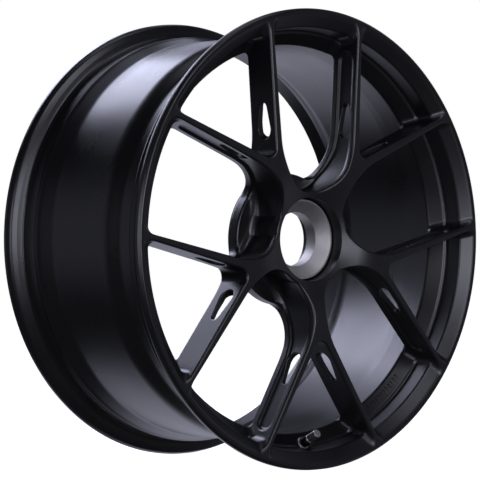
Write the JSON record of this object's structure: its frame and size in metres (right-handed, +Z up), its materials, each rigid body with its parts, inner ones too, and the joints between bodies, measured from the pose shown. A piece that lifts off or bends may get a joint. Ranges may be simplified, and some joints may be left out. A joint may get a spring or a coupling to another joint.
{
  "type": "forged racing wheel rim",
  "caption": "Forged centre-lock racing wheel rim with Y-spokes, conical nut seat, drive-pin bushes and a tyre valve with screw cap.",
  "frame": {"origin": "centre of the wheel, on its axis, halfway between the two rim flanges", "axes": "Y is the wheel axis, with the outer face towards -Y and the hub side towards +Y; Z is up"},
  "size_m": [0.5428, 0.262, 0.5426],
  "materials": {
    "satin_black_coat": "satin black powder coat",
    "barrel_coat": "satin black powder coat",
    "bare_aluminium": "turned bare aluminium",
    "bush_steel": "ground hardened steel",
    "valve_brass": "machined brass",
    "nickel_plate": "bright nickel plate",
    "black_anodised": "black anodised",
    "seal_rubber": "moulded rubber"
  },
  "bodies": {
    "wheel": {"rim_barrel": "barrel_coat", "hub_centre": "satin_black_coat", "nut_seat_ring": "bare_aluminium", "drive_pin_bush_1": "bush_steel", "y_spoke_1": "satin_black_coat", "drive_pin_bush_2": "bush_steel", "y_spoke_2": "satin_black_coat", "drive_pin_bush_3": "bush_steel", "y_spoke_3": "satin_black_coat", "drive_pin_bush_4": "bush_steel", "y_spoke_4": "satin_black_coat", "drive_pin_bush_5": "bush_steel", "y_spoke_5": "satin_black_coat", "valve_stem": "valve_brass", "valve_seal": "seal_rubber", "valve_washer": "black_anodised", "valve_nut": "black_anodised", "valve_core_body": "valve_brass", "valve_core_gasket": "seal_rubber", "valve_core_spring": "bush_steel"},
    "cap_seal": {"valve_cap_gasket": "seal_rubber"},
    "cap": {"valve_cap": "nickel_plate"},
    "core_pin": {"valve_core_pin": "bush_steel", "valve_core_seal": "seal_rubber"}
  },
  "joints": [
    {"name": "valve_cap_lift", "type": "slide", "parent": "wheel", "child": "cap_seal", "axis": [-0.0096, -0.8829, 0.4694], "range_m": [0, 0.00397]},
    {"name": "valve_cap_turn", "type": "hinge", "parent": "cap_seal", "child": "cap", "pos_m": [0.00496, -0.095, -0.24295], "axis": [-0.0096, -0.8829, 0.4694], "range_deg": [0, 1800]},
    {"name": "valve_core_press", "type": "slide", "parent": "wheel", "child": "core_pin", "axis": [0.0096, 0.8829, -0.4694], "range_m": [0, 0.0012], "stiffness_N_per_m": 600}
  ],
  "couplings": [
    {"joint": "valve_cap_turn", "follows": "valve_cap_lift", "rad_per_m": 7915.8}
  ]
}
